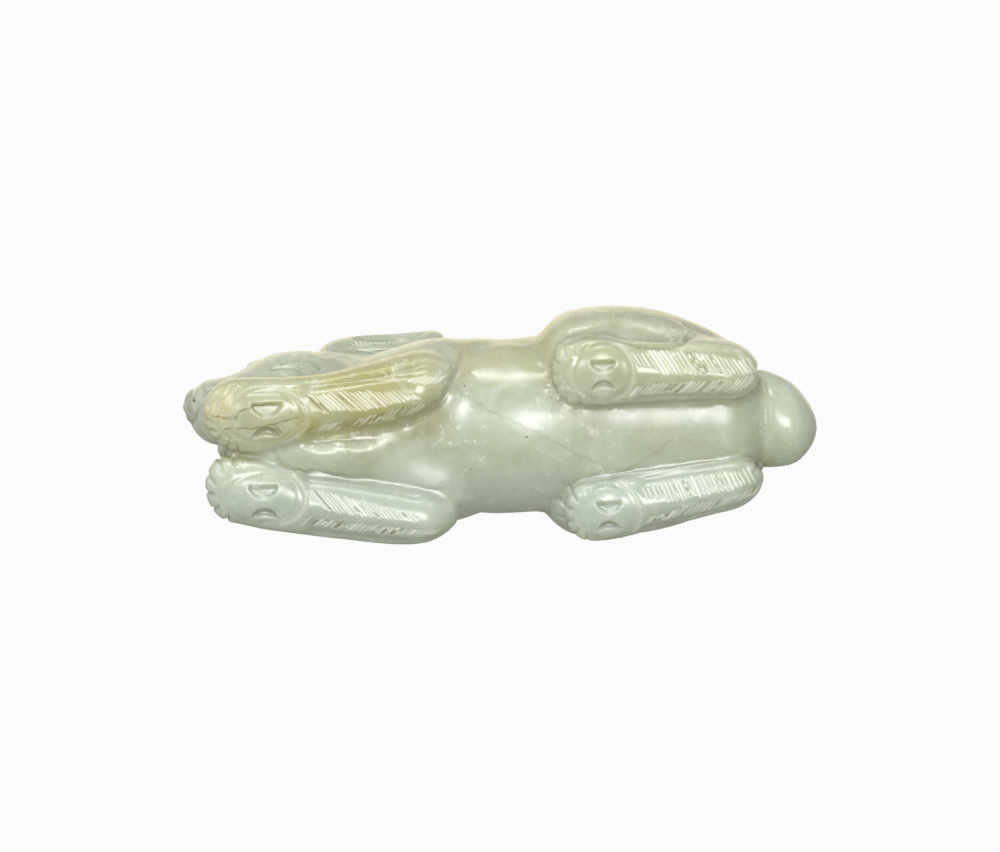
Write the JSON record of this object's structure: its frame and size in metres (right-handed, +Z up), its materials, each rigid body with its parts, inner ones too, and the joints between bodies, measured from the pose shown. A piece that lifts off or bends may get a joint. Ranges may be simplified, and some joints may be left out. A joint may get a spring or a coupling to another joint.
{
  "type": "bear carving",
  "caption": "Recumbent bear carved in the round from pale polished jade, lying on folded legs with padded, incised paw soles, ears laid back and a plump rounded tail",
  "frame": {"origin": "centre of the bounding box at the level of the paw soles", "axes": "+Z up, the bear faces -Y and its tail is at +Y, its left side is +X"},
  "size_m": [0.0396, 0.11, 0.0339],
  "materials": {
    "jade": "polished"
  },
  "bodies": {
    "root": {"jade_bear": "jade"}
  },
  "joints": []
}
